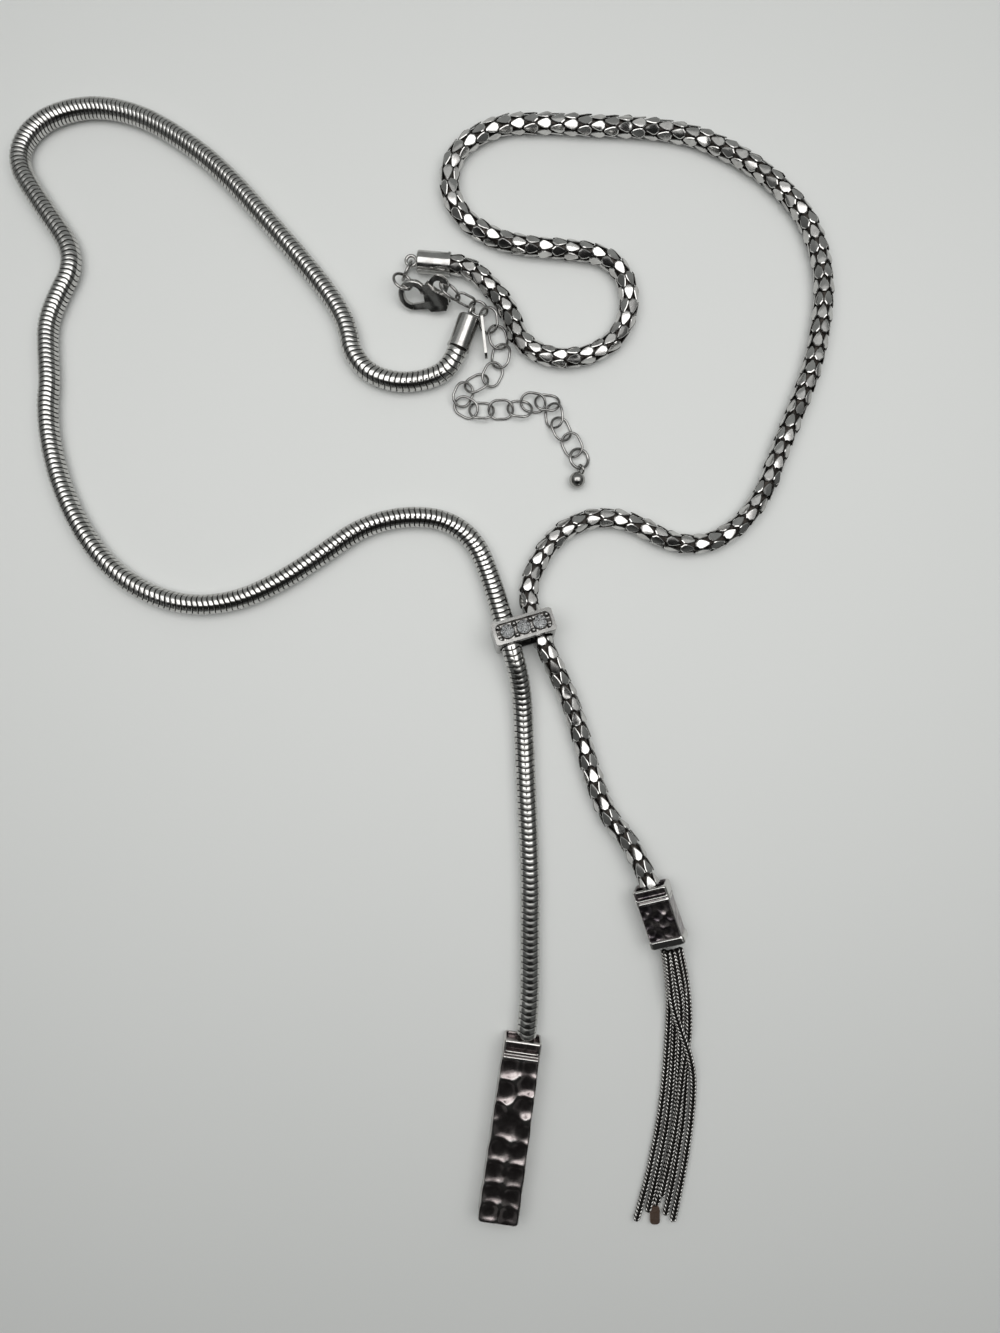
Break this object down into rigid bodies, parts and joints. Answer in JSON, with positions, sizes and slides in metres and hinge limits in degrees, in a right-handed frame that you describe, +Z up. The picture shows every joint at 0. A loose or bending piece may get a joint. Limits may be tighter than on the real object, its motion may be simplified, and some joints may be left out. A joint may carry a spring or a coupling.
{
  "type": "lariat necklace",
  "caption": "Silver lariat necklace laid flat: snake and faceted mesh chains through a stone-set box slider, ending in a hammered bar and a chain tassel, with clasp and extender.",
  "frame": {"origin": "middle of the laid-out necklace's bounding box, on the surface that it lies on", "axes": "+Z up from the surface, +Y from the pendants towards the clasp, +X towards the mesh chain's side"},
  "size_m": [0.1956, 0.2682, 0.0099],
  "materials": {
    "snake_metal": "polished silver plate with darkened gaps between its bands",
    "popcorn_metal": "mirror-bright silver plate, darkened between facets",
    "bright_silver": "polished silver plate, darkened in its recesses",
    "antique_silver": "antiqued silver plate, dark in the dents and bright on the ridges",
    "tassel_metal": "antiqued silver plate on fine chains",
    "crystal": "clear faceted stone on foil",
    "copper": "dull brown copper"
  },
  "bodies": {
    "necklace": {"ball_drop": "bright_silver", "bar_pendant": "antique_silver", "cap_ring": "bright_silver", "clasp_body": "bright_silver", "extender_end_ring": "bright_silver", "extender_link_01": "bright_silver", "extender_link_02": "bright_silver", "extender_link_03": "bright_silver", "extender_link_04": "bright_silver", "extender_link_05": "bright_silver", "extender_link_06": "bright_silver", "extender_link_07": "bright_silver", "extender_link_08": "bright_silver", "extender_link_09": "bright_silver", "extender_link_10": "bright_silver", "extender_link_11": "bright_silver", "extender_link_12": "bright_silver", "extender_link_13": "bright_silver", "extender_link_14": "bright_silver", "extender_link_15": "bright_silver", "eye_ring": "bright_silver", "hook_ring": "bright_silver", "hub_ring": "bright_silver", "popcorn_chain": "popcorn_metal", "popcorn_end_cap": "bright_silver", "short_link": "bright_silver", "slider_frame": "antique_silver", "slider_stone_1": "crystal", "slider_stone_2": "crystal", "slider_stone_3": "crystal", "snake_chain": "snake_metal", "snake_end_cap": "bright_silver", "tag": "bright_silver", "tassel": "tassel_metal", "tassel_cap": "antique_silver", "tassel_tab": "copper"},
    "lever": {"clasp_lever": "bright_silver"}
  },
  "joints": [
    {"name": "clasp_lever_hinge", "type": "hinge", "parent": "necklace", "child": "lever", "pos_m": [0.00431, 0.08563, 0.00362], "axis": [0.1493, 0.6225, -0.7682], "range_deg": [0, 25], "stiffness_Nm_per_rad": 0.002}
  ]
}
